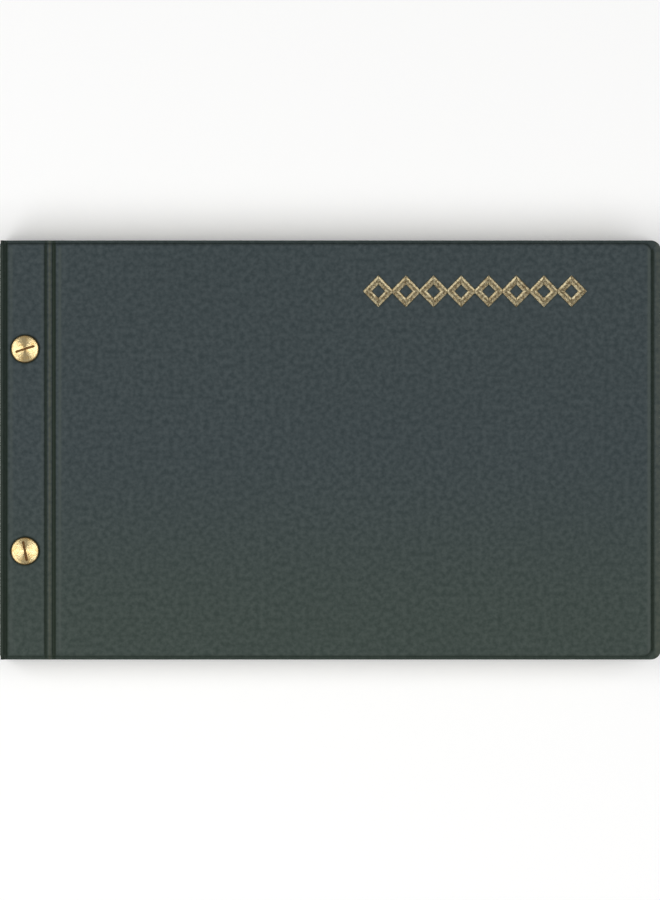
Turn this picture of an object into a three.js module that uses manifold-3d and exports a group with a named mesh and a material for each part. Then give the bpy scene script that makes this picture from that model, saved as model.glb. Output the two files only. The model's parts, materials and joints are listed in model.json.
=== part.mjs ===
// A loose-leaf pilot's log book: leaves clamped by two brass screw posts in a wrap-round vinyl cover.
// Millimetres. X runs from the spine to the fore edge, Y up the page, and Z from the back cover to the
// front. The origin is under the middle of the closed book, on the surface it lies on.
import * as THREE from 'three';
import { mergeVertices } from 'three/addons/utils/BufferGeometryUtils.js';
import Module from 'manifold-3d';

const wasm = await Module();
wasm.setup();

// Leaves, and how far the cover reaches past them
const leafWidth = 215.9;
const leafHeight = 139.7;
const leafStack = 11.6;
const leafToSpine = 0.8;
const leafToCover = 0.1;
const foreOverhang = 10.2;
const endOverhang = 2.65;
const cornerRadius = 3.4;

// The sheets that make a panel, from the inside out, and the air between them
const linerGauge = 0.24;
const boardGauge = 1.1;
const skinGauge = 0.3;
const layerGap = 0.03;
const boardFit = 0.3;

// Welded flange outside the raised panels
const foreFlange = 4.2;
const endFlange = 1.6;
const panelCornerRadius = 3.3;

// Hinge: two grooves in the cover, with a rib between them
const hingeFromSpine = 15.85;
const grooveSpacing = 2.7;
const stripSetback = 0.95;
const coverSetback = 1.65;
const webGauge = 0.4;
const webGap = 0.5;
const ribHeight = 1.3;
const spineGap = 0.3;

// Sections of leaves, counted from the front
const sectionCount = 10;
const turnedWithFront = 4;
const turnedWithBack = 4;
const sectionGap = 0.06;
const marginToGroove = 0.85;
const middleGutter = 5;

// Screw posts
const postPitch = 69.85;
const postFromLeafEdge = 6.2;
const headDiameter = 9.6;
const headHeight = 0.7;
const headBevel = 0.16;
const headSeat = 0.02;
const shankDiameter = 3.4;
const shankToFloor = 4.5;
const barrelWall = 0.6;
const barrelFloor = 1.7;
const fitClearance = 0.3;
const barrelToHead = 0.4;
const slotLength = 6.9;
const slotWidth = 0.7;
const slotDepth = 0.35;
const slotAngles = { upper: 17.7, lower: 100.8 };

// Foil ornament: a chain of open lozenges
const foilWidth = 77.5;
const foilHeight = 11;
const foilStroke = 2.2;
const foilLozenges = 8;
const foilOverlap = 1.2;
const foilGauge = 0.05;
const foilLift = 0.01;
const foilFromFore = 25.6;
const foilFromHead = 12.1;

// How finely curves are cut, how near two points are joined, and how far a cutter runs past a face
const cornerSegments = 8;
const ribSegments = 10;
const turnedSegments = 48;
const joinWithin = 1e-5;
const cutPastFace = 1;

// Worked out from the above
const panelGauge = linerGauge + boardGauge + skinGauge + 2 * layerGap;
const leafStart = panelGauge + leafToSpine;
const coverWidth = leafStart + leafWidth + foreOverhang;
const coverHeight = leafHeight + 2 * endOverhang;
const flangeFloor = linerGauge + layerGap;
const backInner = headHeight + headSeat + panelGauge;
const leafFloor = backInner + leafToCover;
const leafTop = leafFloor + leafStack;
const frontInner = leafTop + leafToCover;
const frontOuter = frontInner + panelGauge;
const coverGroove = hingeFromSpine + grooveSpacing;
const panelHalf = coverHeight / 2 - endFlange;
const stripStart = panelGauge + spineGap;
const stripEnd = hingeFromSpine - stripSetback;
const marginEnd = hingeFromSpine - marginToGroove;
const postFromSpine = leafStart + postFromLeafEdge;
const boreRadius = shankDiameter / 2 + fitClearance;
const barrelRadius = boreRadius + barrelWall;
const holeRadius = barrelRadius + fitClearance;
const boreFloor = headHeight + barrelFloor;
const screwSeat = frontOuter + headSeat;
const shankLength = screwSeat - boreFloor - shankToFloor;
const sectionPitch = leafStack / sectionCount;
const turnCentreHeight = frontInner + (panelGauge + grooveSpacing) / 2;

const finishes = {
  vinyl: { color: 0x434c4c, roughness: 0.62, metalness: 0 },
  liner: { color: 0x2f3536, roughness: 0.7, metalness: 0 },
  board: { color: 0x8d8578, roughness: 0.95, metalness: 0 },
  paper: { color: 0xeae6d6, roughness: 0.9, metalness: 0 },
  brass: { color: 0xd9bd78, roughness: 0.3, metalness: 1 },
  foil: { color: 0xb59a5c, roughness: 0.35, metalness: 1 },
};

function named(name, geometry, finish) {
  const mesh = new THREE.Mesh(geometry, new THREE.MeshStandardMaterial(finishes[finish]));
  mesh.name = name;
  return mesh;
}

function toSolid(geometry) {
  const bare = geometry.clone();
  bare.deleteAttribute('normal');
  bare.deleteAttribute('uv');
  const merged = mergeVertices(bare, joinWithin);
  const mesh = new wasm.Mesh({
    numProp: 3,
    vertProperties: merged.attributes.position.array,
    triVerts: Uint32Array.from(merged.index.array),
  });
  return new wasm.Manifold(mesh);
}

function toGeometry(solid) {
  const mesh = solid.getMesh();
  const geometry = new THREE.BufferGeometry();
  geometry.setAttribute('position', new THREE.BufferAttribute(Float32Array.from(mesh.vertProperties), 3));
  geometry.setIndex(new THREE.BufferAttribute(Uint32Array.from(mesh.triVerts), 1));
  return geometry;
}

// A rectangle from x0 to x1, centred on y = 0, whose two right corners may be rounded
function outline(x0, x1, halfHeight, radius = 0) {
  const shape = new THREE.Shape();
  shape.moveTo(x0, -halfHeight);
  if (radius > 0) {
    shape.absarc(x1 - radius, radius - halfHeight, radius, -Math.PI / 2, 0, false);
    shape.absarc(x1 - radius, halfHeight - radius, radius, 0, Math.PI / 2, false);
  } else {
    shape.lineTo(x1, -halfHeight);
    shape.lineTo(x1, halfHeight);
  }
  shape.lineTo(x0, halfHeight);
  return shape;
}

function postHoles(shape) {
  for (const side of [-1, 1]) {
    const hole = new THREE.Path();
    hole.absarc(postFromSpine, (side * postPitch) / 2, holeRadius, 0, 2 * Math.PI, true);
    shape.holes.push(hole);
  }
  return shape;
}

function plate(shape, z0, z1) {
  const geometry = new THREE.ExtrudeGeometry(shape, {
    depth: z1 - z0,
    bevelEnabled: false,
    curveSegments: cornerSegments,
  });
  geometry.translate(0, 0, z0);
  return geometry;
}

// One panel of the cover, lying flat: liner at the bottom, board in its pocket, raised skin on top.
// It runs from x0 to x1. A web of skin reaches on to webStart or webEnd at a hinge, and flange is the
// width of the welded edge past x1.
function coverPanel(name, { x0, x1, webStart, webEnd, flange = 0, holes = false }) {
  const punch = holes ? postHoles : (shape) => shape;
  const panelRadius = flange > 0 ? panelCornerRadius : 0;
  const edgeRadius = flange > 0 ? cornerRadius : 0;
  const pocketInset = skinGauge;
  const boardInset = skinGauge + boardFit;
  const pocketRadius = Math.max(panelRadius - pocketInset, 0);
  const boardRadius = Math.max(panelRadius - boardInset, 0);
  const whole = () => punch(outline(x0, x1 + flange, coverHeight / 2, edgeRadius));

  const raised = plate(punch(outline(x0, x1, panelHalf, panelRadius)), flangeFloor, panelGauge);
  const pocketOutline = outline(x0 + pocketInset, x1 - pocketInset, panelHalf - pocketInset, pocketRadius);
  const pocket = plate(pocketOutline, flangeFloor - cutPastFace, panelGauge - skinGauge);
  const welded = plate(whole(), flangeFloor, flangeFloor + skinGauge);
  let skin = toSolid(raised).add(toSolid(welded)).subtract(toSolid(pocket));
  for (const [from, to] of [[webStart, x0], [x1, webEnd]]) {
    if (from !== undefined && to !== undefined) {
      skin = skin.add(toSolid(hingeWeb(from, to, from === x1)));
    }
  }

  const boardOutline = outline(x0 + boardInset, x1 - boardInset, panelHalf - boardInset, boardRadius);
  const board = plate(punch(boardOutline), flangeFloor, flangeFloor + boardGauge);
  const panel = new THREE.Group();
  panel.add(named(`${name}_skin`, toGeometry(skin), 'vinyl'));
  panel.add(named(`${name}_board`, board, 'board'));
  panel.add(named(`${name}_liner`, plate(whole(), 0, linerGauge), 'liner'));
  return panel;
}

// The thin web beside a groove, buried a little way in the panel's wall
function hingeWeb(from, to, wallAtStart) {
  const bury = skinGauge / 2;
  const start = wallAtStart ? from - bury : from;
  const end = wallAtStart ? to : to + bury;
  const middle = panelGauge / 2;
  return plate(outline(start, end, coverHeight / 2), middle - webGauge / 2, middle + webGauge / 2);
}

// The rib between the grooves: a bead, thin at both sides and full in the middle
function hingeRib(name) {
  const half = (grooveSpacing - webGap) / 2;
  const edge = webGauge / 2;
  const crown = ribHeight - edge;
  const section = new THREE.Shape();
  section.moveTo(-half, -edge);
  section.quadraticCurveTo(0, -crown, half, -edge);
  section.lineTo(half, edge);
  section.quadraticCurveTo(0, crown, -half, edge);
  const geometry = new THREE.ExtrudeGeometry(section, {
    depth: coverHeight,
    bevelEnabled: false,
    curveSegments: ribSegments,
  });
  geometry.rotateX(Math.PI / 2);
  geometry.translate((hingeFromSpine + coverGroove) / 2, coverHeight / 2, panelGauge / 2);
  return named(name, geometry, 'vinyl');
}

// Everything on one side of the leaves: strip, rib and cover, lying with its outer face up
function coverSide(side) {
  const group = new THREE.Group();
  group.add(coverPanel(`${side}_strip`, {
    x0: stripStart,
    x1: stripEnd,
    webEnd: hingeFromSpine - webGap / 2,
    holes: true,
  }));
  group.add(hingeRib(`${side}_hinge_rib`));
  group.add(coverPanel(`${side}_cover`, {
    x0: coverGroove + coverSetback,
    x1: coverWidth - foreFlange,
    webStart: coverGroove + webGap / 2,
    flange: foreFlange,
  }));
  return group;
}

function spinePanel() {
  const panel = coverPanel('spine', { x0: headHeight + headSeat, x1: frontOuter });
  panel.rotation.y = -Math.PI / 2;
  panel.position.x = panelGauge;
  return panel;
}

// A section of leaves, in two pieces: the margin clamped by the posts, and the part that turns. The
// gutter between them is as long as the half circle it bends to about the turning centre.
function leafSection(index) {
  const top = leafTop - index * sectionPitch;
  const bottom = top - sectionPitch + sectionGap;
  const middle = (top + bottom) / 2;
  const mirrored = leafTop + leafFloor - middle;
  const number = String(index + 1).padStart(2, '0');
  let gutter = middleGutter;
  if (index < turnedWithFront) {
    gutter = Math.PI * (turnCentreHeight - middle);
  } else if (index >= sectionCount - turnedWithBack) {
    gutter = Math.PI * (turnCentreHeight - mirrored);
  }
  const margin = plate(postHoles(outline(leafStart, marginEnd, leafHeight / 2)), bottom, top);
  const page = plate(outline(marginEnd + gutter, leafStart + leafWidth, leafHeight / 2), bottom, top);
  return [
    named(`leaf_margin_${number}`, margin, 'paper'),
    named(`leaves_${number}`, page, 'paper'),
  ];
}

function turned(profile) {
  const points = profile.map(([radius, height]) => new THREE.Vector2(radius, height));
  const geometry = new THREE.LatheGeometry(points, turnedSegments);
  geometry.rotateX(Math.PI / 2);
  return geometry;
}

function bindingPost(place) {
  const head = headDiameter / 2;
  const barrelTop = frontOuter - barrelToHead;
  const geometry = turned([
    [0, 0],
    [head - headBevel, 0],
    [head, headBevel],
    [head, headHeight],
    [barrelRadius, headHeight],
    [barrelRadius, barrelTop],
    [boreRadius, barrelTop],
    [boreRadius, boreFloor],
    [0, boreFloor],
  ]);
  return named(`binding_post_${place}`, geometry, 'brass');
}

// The screw, standing on the seat of its head, with the slot along X before it is turned
function bindingScrew(place) {
  const head = headDiameter / 2;
  const shank = shankDiameter / 2;
  const body = turned([
    [0, -shankLength],
    [shank, -shankLength],
    [shank, 0],
    [head, 0],
    [head, headHeight - headBevel],
    [head - headBevel, headHeight],
    [0, headHeight],
  ]);
  const reach = (slotLength - slotWidth) / 2;
  const slot = new THREE.Shape();
  slot.absarc(reach, 0, slotWidth / 2, -Math.PI / 2, Math.PI / 2, false);
  slot.absarc(-reach, 0, slotWidth / 2, Math.PI / 2, (3 * Math.PI) / 2, false);
  const cut = toSolid(plate(slot, headHeight - slotDepth, headHeight + cutPastFace));
  const screw = named(`binding_screw_${place}`, toGeometry(toSolid(body).subtract(cut)), 'brass');
  screw.rotation.z = THREE.MathUtils.degToRad(slotAngles[place]);
  return screw;
}

function lozenge(centre, halfWide, halfHigh, z0 = 0, z1 = foilGauge) {
  const shape = new THREE.Shape();
  shape.moveTo(centre - halfWide, 0);
  shape.lineTo(centre, -halfHigh);
  shape.lineTo(centre + halfWide, 0);
  shape.lineTo(centre, halfHigh);
  return plate(shape, z0, z1);
}

// The chain of lozenges, each open in the middle and joined to the next at its side corners
function foilOrnament() {
  const halfHigh = foilHeight / 2;
  const step = (foilWidth - foilOverlap) / foilLozenges;
  const halfWide = (step + foilOverlap) / 2;
  const sideSlant = Math.hypot(halfWide, halfHigh);
  const innerHigh = halfHigh - (foilStroke * sideSlant) / halfWide;
  const innerWide = halfWide - (foilStroke * sideSlant) / halfHigh;
  const first = -foilWidth / 2 + halfWide;
  const centres = Array.from({ length: foilLozenges }, (_, i) => first + i * step);
  const outer = centres.map((x) => toSolid(lozenge(x, halfWide, halfHigh)));
  const inner = centres.map((x) => toSolid(lozenge(x, innerWide, innerHigh, -cutPastFace, cutPastFace)));
  let solid = outer.reduce((joined, one) => joined.add(one));
  solid = inner.reduce((rest, one) => rest.subtract(one), solid);
  const ornament = named('title_foil', toGeometry(solid), 'foil');
  ornament.position.set(
    coverWidth - foilFromFore - foilWidth / 2,
    coverHeight / 2 - foilFromHead - halfHigh,
    frontOuter + foilLift,
  );
  return ornament;
}

const book = new THREE.Group();

const frontSide = coverSide('front');
frontSide.position.z = frontInner;
book.add(frontSide);

const backSide = coverSide('back');
backSide.rotation.x = Math.PI;
backSide.position.z = backInner;
book.add(backSide);

book.add(spinePanel());
book.add(foilOrnament());

for (let index = 0; index < sectionCount; index += 1) {
  book.add(...leafSection(index));
}

for (const [place, side] of [['upper', 1], ['lower', -1]]) {
  const post = bindingPost(place);
  post.position.set(postFromSpine, (side * postPitch) / 2, 0);
  const screw = bindingScrew(place);
  screw.position.set(postFromSpine, (side * postPitch) / 2, screwSeat);
  book.add(post, screw);
}

book.position.x = -coverWidth / 2;

const logbook = new THREE.Group();
logbook.add(book);

export default logbook;
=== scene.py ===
"""Looks for a loose-leaf pilot's log book: welded vinyl, turned brass screw posts, foil and leaves."""
import json
import math

import bmesh
import bpy
import numpy as np
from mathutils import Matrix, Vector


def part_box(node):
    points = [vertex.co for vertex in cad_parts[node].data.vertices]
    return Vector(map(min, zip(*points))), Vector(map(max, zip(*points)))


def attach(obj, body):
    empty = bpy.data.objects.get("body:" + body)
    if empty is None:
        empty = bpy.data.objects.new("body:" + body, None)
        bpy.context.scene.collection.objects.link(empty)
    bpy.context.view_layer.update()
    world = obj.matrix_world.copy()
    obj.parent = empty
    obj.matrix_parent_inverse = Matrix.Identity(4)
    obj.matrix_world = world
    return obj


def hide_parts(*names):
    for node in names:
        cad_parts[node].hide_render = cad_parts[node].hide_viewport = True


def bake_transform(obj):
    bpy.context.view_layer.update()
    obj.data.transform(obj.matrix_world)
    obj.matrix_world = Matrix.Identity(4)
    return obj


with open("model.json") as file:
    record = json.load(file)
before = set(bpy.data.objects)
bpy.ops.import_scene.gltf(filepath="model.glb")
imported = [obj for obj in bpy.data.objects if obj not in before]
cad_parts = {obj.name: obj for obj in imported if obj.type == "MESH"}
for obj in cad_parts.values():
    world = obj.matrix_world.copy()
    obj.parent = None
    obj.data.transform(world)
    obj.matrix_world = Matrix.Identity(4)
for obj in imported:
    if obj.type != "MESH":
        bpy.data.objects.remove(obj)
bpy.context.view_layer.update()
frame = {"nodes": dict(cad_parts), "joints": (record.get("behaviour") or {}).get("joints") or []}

MM = 0.001


# ---------------------------------------------------------------- sizes, read from the frame

def joint(name):
    return next(j for j in frame["joints"] if j["name"] == name)


def low(node):
    return np.array(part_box(node)[0])


def high(node):
    return np.array(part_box(node)[1])


SPINE_X = low("spine_skin")[0]
FORE_X = high("front_cover_skin")[0]
HALF_Y = high("front_cover_skin")[1]
FRONT_OUTER = high("front_cover_skin")[2]
FRONT_INNER = low("front_cover_liner")[2]
BACK_OUTER = low("back_cover_skin")[2]
BACK_INNER = high("back_cover_liner")[2]
PANEL = FRONT_OUTER - FRONT_INNER
SKIN = 0.3 * MM
LINER = high("front_cover_liner")[2] - FRONT_INNER
SPINE_GAUGE = high("spine_liner")[0] - SPINE_X
FLANGE_FLOOR = low("front_cover_board")[2] - FRONT_INNER
GROOVE_A = joint("front_rib_fold")["pos_m"][0]
RIB_X = joint("front_cover_turn")["pos_m"][0]
GROOVE_B = 2 * RIB_X - GROOVE_A
WEB = PANEL / 2
STRIP_X0 = low("front_strip_skin")[0]
STRIP_X1 = high("front_strip_liner")[0]
COVER_X0 = low("front_cover_liner")[0]
FORE_WELD = 3.0 * MM
END_WELD = 1.05 * MM
WELD_RADIUS = 3.3 * MM
EDGE_RADIUS = 3.4 * MM
POSTS = [
    (np.array(joint(f"binding_screw_{place}_turn")["pos_m"][:2]), place)
    for place in ("upper", "lower")
]
HEAD_RADIUS = (high("binding_screw_upper")[0] - low("binding_screw_upper")[0]) / 2
POST_CENTRES = [centre for centre, _ in POSTS]
POST_HOLE = 2.9 * MM
FRONT_TOP = high("binding_screw_upper")[2]
BACK_TOP = low("binding_post_upper")[2]
LEAF_X0 = low("leaf_margin_01")[0]
LEAF_X1 = high("leaves_01")[0]
LEAF_Y = high("leaves_01")[1]
MARGIN_X = high("leaf_margin_01")[0]
SECTIONS = sum(name.startswith("leaf_margin_") for name in frame["nodes"])
SHEETS = 10


# ---------------------------------------------------------------- shader maths

class Socket:
    """A value in a material. Arithmetic on it adds the Math nodes."""

    def __init__(self, tree, link):
        self.tree = tree
        self.link = link

    def _math(self, operation, *values):
        return self.tree.node("ShaderNodeMath", {"operation": operation}, *values)

    def __add__(self, other):
        return self._math("ADD", self, other)

    def __radd__(self, other):
        return self._math("ADD", other, self)

    def __sub__(self, other):
        return self._math("SUBTRACT", self, other)

    def __rsub__(self, other):
        return self._math("SUBTRACT", other, self)

    def __mul__(self, other):
        return self._math("MULTIPLY", self, other)

    def __rmul__(self, other):
        return self._math("MULTIPLY", other, self)

    def __gt__(self, other):
        return self._math("GREATER_THAN", self, other)

    def __lt__(self, other):
        return self._math("LESS_THAN", self, other)

    def __mod__(self, other):
        return self._math("FLOORED_MODULO", self, other)

    def __rmod__(self, other):
        return self._math("FLOORED_MODULO", other, self)

    def abs(self):
        return self._math("ABSOLUTE", self)

    def sqrt(self):
        return self._math("SQRT", self)

    def sin(self):
        return self._math("SINE", self)

    def sign(self):
        return self._math("SIGN", self)

    def most(self, other):
        return self._math("MAXIMUM", self, other)

    def ramp(self, start, end, low_value=0.0, high_value=1.0):
        """low_value before start, high_value after end, and smooth between."""
        settings = {"interpolation_type": "SMOOTHSTEP", "clamp": True}
        return self.tree.node("ShaderNodeMapRange", settings, self, start, end, low_value, high_value)


class Surface:
    """One material, with its Principled shader, and the calls that add nodes to it."""

    def __init__(self, name, shader=()):
        self.material = bpy.data.materials.new(name)
        self.material.use_nodes = True
        self.nodes = self.material.node_tree.nodes
        self.links = self.material.node_tree.links
        self.shader = self.nodes["Principled BSDF"]
        for socket, value in dict(shader).items():
            self.set(socket, value)

    def node(self, kind, settings, *inputs, output=0, **named):
        """Adds a node. settings are its properties, and inputs go to its first sockets in order."""
        node = self.nodes.new(kind)
        for key, value in settings.items():
            setattr(node, key, value)
        for key, value in [*enumerate(inputs), *named.items()]:
            socket = node.inputs[key] if isinstance(key, int) else node.inputs[key.replace("_", " ")]
            self._feed(socket, value)
        return Socket(self, node.outputs[output])

    def _feed(self, socket, value):
        if isinstance(value, Socket):
            self.links.new(value.link, socket)
        elif value is not None:
            socket.default_value = value

    def set(self, socket, value):
        self._feed(self.shader.inputs[socket], value)

    def mix(self, share, first, second):
        """A colour between first, at share 0, and second, at share 1."""
        node = self.nodes.new("ShaderNodeMix")
        node.data_type = "RGBA"
        self._feed(node.inputs[0], share)
        self._feed(node.inputs[6], first)
        self._feed(node.inputs[7], second)
        return Socket(self, node.outputs[2])

    def own(self):
        """The place on the surface in the object's own frame, in metres."""
        return self.node("ShaderNodeTexCoord", {}, output="Object")

    def sheet(self):
        """The place on a sheet as it lies flat, in metres."""
        return self.node("ShaderNodeUVMap", {"uv_map": "sheet"})

    def share(self, name):
        """A value from 0 to 1 that the mesh carries at its points."""
        return self.node("ShaderNodeAttribute", {"attribute_name": name}, output="Fac")

    def noise(self, place, size, detail=2.0, rough=0.5):
        """A noise whose features are about size metres across."""
        return self.node("ShaderNodeTexNoise", {}, place, Scale=1 / size, Detail=detail, Roughness=rough)

    def cells(self, place, size):
        """Cells about size metres across, by the distance from each one's middle."""
        return self.node("ShaderNodeTexVoronoi", {}, place, Scale=1 / size)

    def xyz(self, place):
        node = self.nodes.new("ShaderNodeSeparateXYZ")
        self._feed(node.inputs[0], place)
        return [Socket(self, out) for out in node.outputs]

    def vector(self, operation, *values):
        return self.node("ShaderNodeVectorMath", {"operation": operation}, *values)

    def bump(self, height, distance, strength=1.0, normal=None):
        bumped = self.node(
            "ShaderNodeBump", {}, Strength=strength, Distance=distance, Height=height, Normal=normal
        )
        self.set("Normal", bumped)


def grey(level):
    return (level, level, level, 1.0)


# ---------------------------------------------------------------- finishes

def vinyl_finish():
    """Dark slate vinyl with a fine embossed grain, mottled, with painted shade in its grooves and welds,
    along the spine and round the heads and ornament, and a painted highlight, partly wear, along the
    boards' long edges."""
    s = Surface("slate_vinyl", {"IOR": 1.33})
    place = s.sheet()
    _, along, _ = s.xyz(place)
    grain = s.cells(place, 0.8 * MM)
    pores = s.noise(place, 0.36 * MM, 3.0, 0.6)
    mottle = s.noise(place, 1.75 * MM, 2.5, 0.55)
    cloud = s.noise(place, 42 * MM, 2.0)
    # Painted light: the tone runs a little lighter and greener towards the bottom edge.
    foot = along.ramp(0.1 * HALF_Y, -0.95 * HALF_Y)
    dull = s.mix(foot, (0.0220, 0.0345, 0.0380, 1), (0.0250, 0.0395, 0.0330, 1))
    pale = s.mix(foot, (0.0480, 0.0640, 0.0680, 1), (0.0510, 0.0690, 0.0600, 1))
    shade = s.mix(mottle.ramp(0.22, 0.78) * cloud.ramp(0.25, 0.75, 0.94, 1.06), dull, pale)
    # Painted shade: this share darkens the grooves, welds, spine edge and the rings round the heads and
    # ornament.
    painted_dark = s.share("pressed")
    warm = s.share("warmed")
    # Painted highlight, partly wear: paler along the boards' long edges.
    rubbed = s.share("rubbed") * pores.ramp(0.3, 0.7, 0.55, 0.9)
    shade = s.mix(rubbed, shade, (0.059, 0.075, 0.067, 1))
    # The painted shade is mixed in here, towards near-black green.
    deep = s.mix(painted_dark * 0.9, shade, (0.0070, 0.0165, 0.0070, 1))
    s.set("Base Color", s.mix(warm * mottle.ramp(0.3, 0.7, 0.45, 0.95), deep, (0.066, 0.073, 0.052, 1)))
    s.set("Roughness", pores.ramp(0.3, 0.7, 0.58, 0.72) - painted_dark * 0.06)
    height = grain * 0.5 + pores * 0.35 + mottle * 0.4
    s.bump(height, 0.05 * MM, 0.8)
    return s.material


def liner_finish():
    """Plainer, darker vinyl on the inside."""
    s = Surface("liner_vinyl", {"IOR": 1.47})
    place = s.sheet()
    weave = s.noise(place, 0.5 * MM, 2.0)
    cloud = s.noise(place, 24 * MM, 2.0)
    s.set("Base Color", s.mix(cloud.ramp(0.3, 0.7), (0.026, 0.031, 0.033, 1), (0.033, 0.039, 0.041, 1)))
    s.set("Roughness", weave.ramp(0.3, 0.7, 0.58, 0.72))
    s.bump(weave, 0.03 * MM, 0.7)
    return s.material


def board_finish():
    """Greyboard: pulped fibre with dark flecks."""
    s = Surface("greyboard")
    place = s.own()
    fibre = s.noise(place, 0.6 * MM, 4.0, 0.7)
    fleck = s.cells(place, 2.2 * MM).ramp(0.10, 0.16)
    pulp = s.mix(fibre.ramp(0.3, 0.7), (0.235, 0.21, 0.175, 1), (0.33, 0.30, 0.255, 1))
    s.set("Base Color", s.mix(fleck, (0.12, 0.10, 0.085, 1), pulp))
    s.set("Roughness", fibre.ramp(0.3, 0.7, 0.86, 0.97))
    s.bump(fibre, 0.06 * MM)
    return s.material


TURNED_SLOPE = 0.28         # how far the tool marks tilt the face
MARK_SPACING = 0.13 * MM


def brass_finish():
    """Turned and lacquered brass. Each head's fine tool marks run round its own centre."""
    s = Surface("turned_brass", {"Metallic": 1.0})
    place = s.own()
    x, y, z = s.xyz(place)
    across_head = x - float(POSTS[0][0][0])
    up_head = (y.abs() - abs(float(POSTS[0][0][1]))) * y.sign()
    radius = (across_head * across_head + up_head * up_head).sqrt()
    outward = s.vector("NORMALIZE", s.node("ShaderNodeCombineXYZ", {}, across_head, up_head, 0.0))
    uneven = s.noise(place, 0.8 * MM, 2.0)
    marks = (radius * (2 * math.pi / MARK_SPACING) + uneven * 5.0).sin()
    tilt = s.node("ShaderNodeVectorMath", {"operation": "SCALE"}, outward, Scale=marks * TURNED_SLOPE)
    turning = {"vector_type": "VECTOR", "convert_from": "OBJECT", "convert_to": "WORLD"}
    tilt = s.node("ShaderNodeVectorTransform", turning, tilt)
    plain = s.node("ShaderNodeNewGeometry", {}, output="Normal")
    turned = s.vector("NORMALIZE", s.vector("ADD", plain, tilt))
    scratch = s.noise(place, 0.5 * MM, 4.0, 0.7)
    tarnish = s.noise(place, 2.4 * MM, 3.0, 0.6)
    # Painted shade: each head's rounded rim is darkened to a deep brown ring.
    rim = radius.ramp(0.88 * HEAD_RADIUS, 0.96 * HEAD_RADIUS)
    # Painted shade: the slot's colour is darkened to brown.
    slot = z.ramp(FRONT_TOP - 0.22 * MM, FRONT_TOP - 0.05 * MM, 1.0, 0.0)
    slot = slot * (radius < 0.8 * HEAD_RADIUS) * (z > FRONT_OUTER)
    clean = s.mix(tarnish.ramp(0.40, 0.72), (0.93, 0.74, 0.40, 1), (0.74, 0.50, 0.20, 1))
    rim_shaded = s.mix(rim * 0.92, clean, (0.13, 0.080, 0.026, 1))
    s.set("Base Color", s.mix(slot * 0.95, rim_shaded, (0.15, 0.065, 0.018, 1)))
    s.set("Roughness", tarnish.ramp(0.3, 0.75, 0.18, 0.29) + slot * 0.3)
    s.bump(scratch, 0.02 * MM, 0.3, turned)
    return s.material


def foil_finish():
    """Stamped gold foil, rubbed through here and there."""
    s = Surface("gold_foil")
    place = s.own()
    crackle = s.noise(place, 0.6 * MM, 4.0, 0.7)
    rub = s.noise(place, 1.3 * MM, 4.0, 0.7)
    worn = rub.ramp(0.46, 0.64)
    gold = s.mix(crackle.ramp(0.35, 0.65), (0.28, 0.215, 0.110, 1), (0.54, 0.475, 0.31, 1))
    s.set("Base Color", s.mix(worn * 0.85, gold, (0.13, 0.088, 0.038, 1)))
    s.set("Metallic", worn.ramp(0.0, 1.0, 0.95, 0.55))
    s.set("Roughness", crackle.ramp(0.3, 0.7, 0.24, 0.40))
    s.bump(crackle * 0.6 + rub, 0.05 * MM, 0.7)
    return s.material


# The page's ruled columns, as shares of the ruled width, and its rows
COLUMNS = (0.0, 0.075, 0.19, 0.265, 0.345, 0.425, 0.5, 0.555, 0.61, 0.665, 0.72, 0.775, 0.83, 1.0)
GROUPS = (0.0, 0.19, 0.5, 0.665, 0.83, 1.0)
ROWS = 15
HEAD_BAND = 15 * MM
ROW_RULE = 0.3 * MM
HEAD_RULE = 0.14 * MM
GROUP_RULE = 0.3 * MM
COLUMN_RULE = 0.15 * MM


def paper_finish():
    """Ledger paper, ruled in columns for entries, with a tinted head band and no lettering."""
    s = Surface("ledger_paper", {"IOR": 1.45})
    place = s.sheet()
    x, y, _ = s.xyz(place)
    fibre = s.noise(place, 0.9 * MM, 4.0, 0.65)
    cloud = s.noise(place, 30 * MM, 2.0)
    left, right = MARGIN_X + 23 * MM, LEAF_X1 - 8 * MM
    top, bottom = LEAF_Y - 12 * MM, -LEAF_Y + 12 * MM
    head = HEAD_BAND
    inside = (x > left - 0.2 * MM) * (x < right + 0.2 * MM) * (y > bottom) * (y < top + 0.2 * MM)
    row = (top - head - bottom) / ROWS
    lines = (((y - bottom) % row) < ROW_RULE) * (y < top - head + 0.2 * MM)
    for edge in (top, top - head, top - 0.45 * head):
        lines = lines.most((y - edge).abs() < HEAD_RULE)
    for share in COLUMNS:
        width = GROUP_RULE if share in GROUPS else COLUMN_RULE
        lines = lines.most((x - (left + share * (right - left))).abs() < width)
    band = inside * (y > top - head)
    sheet = s.mix(fibre.ramp(0.3, 0.7), (0.72, 0.69, 0.575, 1), (0.77, 0.74, 0.63, 1))
    aged = s.mix(cloud.ramp(0.35, 0.75) * 0.35, sheet, (0.68, 0.62, 0.48, 1))
    tinted = s.mix(band * 0.55, aged, (0.38, 0.50, 0.38, 1))
    s.set("Base Color", s.mix(lines * inside * 0.85, tinted, (0.07, 0.17, 0.13, 1)))
    s.set("Roughness", fibre.ramp(0.3, 0.7, 0.82, 0.92))
    s.bump(fibre, 0.02 * MM, 0.6)
    return s.material


def floor_finish():
    """Matt and nearly white."""
    s = Surface("pale_floor", {"Roughness": 0.9})
    s.set("Base Color", (0.965, 0.965, 0.96, 1))
    return s.material


# ---------------------------------------------------------------- meshes

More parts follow.
